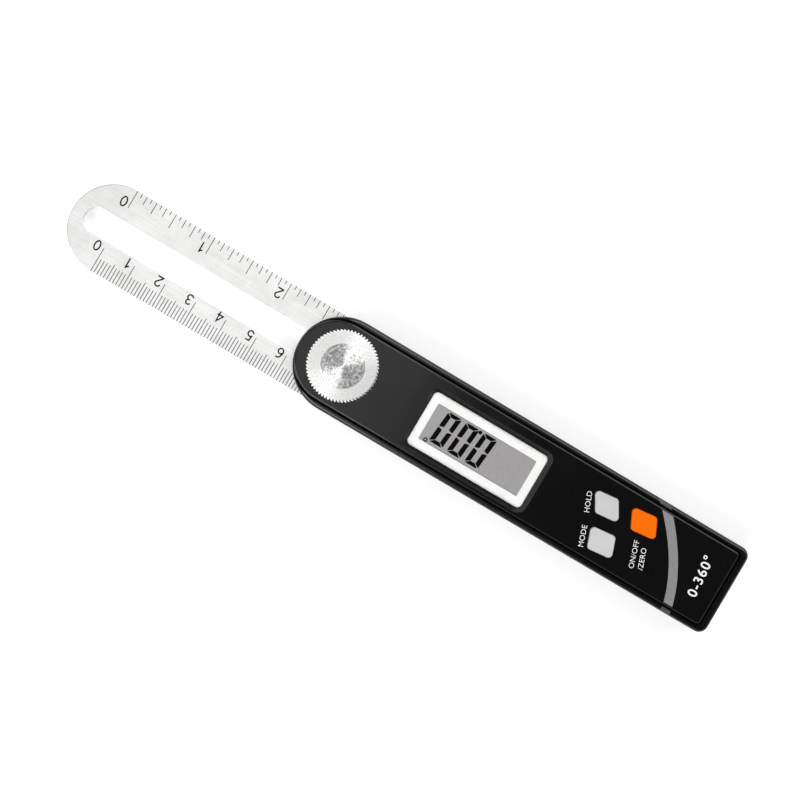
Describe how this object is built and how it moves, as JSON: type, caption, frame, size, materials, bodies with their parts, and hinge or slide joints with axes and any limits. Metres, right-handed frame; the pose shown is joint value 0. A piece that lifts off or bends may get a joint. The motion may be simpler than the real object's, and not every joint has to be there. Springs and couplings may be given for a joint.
{
  "type": "digital angle finder",
  "caption": "Digital angle finder: a slotted steel ruler blade slides and turns in a black handle with a display, keys and a knurled lock knob.",
  "frame": {"origin": "on the pivot axis, at the handle's back face", "axes": "+Z out of the display side, +X along the handle away from the pivot; at rest the blade points along -X"},
  "size_m": [0.2176, 0.028, 0.0182],
  "materials": {
    "abs_black": "moulded ABS, fine texture",
    "panel_black": "moulded ABS, satin gloss",
    "window_clear": "clear acrylic",
    "bezel_white": "white moulded frame",
    "display_grey": "reflective liquid crystal glass",
    "elastomer": "layered conductive silicone",
    "board_green": "solder-masked glass epoxy",
    "chip_black": "epoxy package",
    "switch_metal": "nickel-plated spring steel",
    "plug_cream": "nylon",
    "ribbon_amber": "polyimide film",
    "screw_steel": "zinc-plated steel",
    "cell_steel": "stainless cell case",
    "contact_nickel": "nickel-plated strip",
    "seal_rubber": "moulded silicone",
    "acetal_white": "machined acetal",
    "bush_brass": "turned brass",
    "blade_steel": "long-brushed stainless steel",
    "knob_aluminium": "turned and knurled aluminium",
    "key_grey": "moulded silicone-coated ABS",
    "key_orange": "moulded ABS"
  },
  "bodies": {
    "handle": {"front_housing": "abs_black", "face_panel": "panel_black", "rear_cover": "abs_black", "display_window": "window_clear", "display_bezel": "bezel_white", "display_glass": "display_grey", "zebra_strips": "elastomer", "main_board": "board_green", "controller_chip": "chip_black", "dome_switches": "switch_metal", "ribbon_connector": "plug_cream", "encoder_ribbon": "ribbon_amber", "board_screws": "screw_steel", "housing_screws": "screw_steel", "battery_cell": "cell_steel", "battery_contact_minus": "contact_nickel", "battery_contact_plus": "contact_nickel", "clamp_nut": "screw_steel", "nut_cap": "abs_black", "friction_washer": "acetal_white", "pivot_bush": "bush_brass", "encoder_stator": "board_green"},
    "rotor": {"guide_hub": "acetal_white", "encoder_rotor": "board_green"},
    "blade": {"blade": "blade_steel"},
    "washer": {"knob_washer": "screw_steel"},
    "knob": {"lock_knob": "knob_aluminium", "knob_stud": "screw_steel"},
    "hold_key": {"hold_button": "key_grey"},
    "mode_key": {"mode_button": "key_grey"},
    "power_key": {"power_button": "key_orange"},
    "cell_cap": {"battery_cap": "abs_black", "cap_seal": "seal_rubber"}
  },
  "joints": [
    {"name": "blade_pivot", "type": "hinge", "parent": "handle", "child": "rotor", "pos_m": [0, 0, 0], "axis": [0, 0, 1], "continuous": true},
    {"name": "blade_slide", "type": "slide", "parent": "rotor", "child": "blade", "axis": [1, 0, 0], "range_m": [-0.0026, 0.079]},
    {"name": "knob_lift", "type": "slide", "parent": "handle", "child": "washer", "axis": [0, 0, 1], "range_m": [0, 0.0007]},
    {"name": "knob_turn", "type": "hinge", "parent": "washer", "child": "knob", "pos_m": [0, 0, 0], "axis": [0, 0, 1], "range_deg": [0, 360]},
    {"name": "hold_press", "type": "slide", "parent": "handle", "child": "hold_key", "axis": [0, 0, -1], "range_m": [0, 0.0006], "stiffness_N_per_m": 500, "springref_m": -0.0003},
    {"name": "mode_press", "type": "slide", "parent": "handle", "child": "mode_key", "axis": [0, 0, -1], "range_m": [0, 0.0006], "stiffness_N_per_m": 500, "springref_m": -0.0003},
    {"name": "power_press", "type": "slide", "parent": "handle", "child": "power_key", "axis": [0, 0, -1], "range_m": [0, 0.0006], "stiffness_N_per_m": 500, "springref_m": -0.0003},
    {"name": "cap_turn", "type": "hinge", "parent": "handle", "child": "cell_cap", "pos_m": [0.111, 0, 0], "axis": [0, 0, 1], "range_deg": [0, 45]}
  ],
  "couplings": [
    {"joint": "knob_turn", "follows": "knob_lift", "rad_per_m": 8975.9}
  ]
}
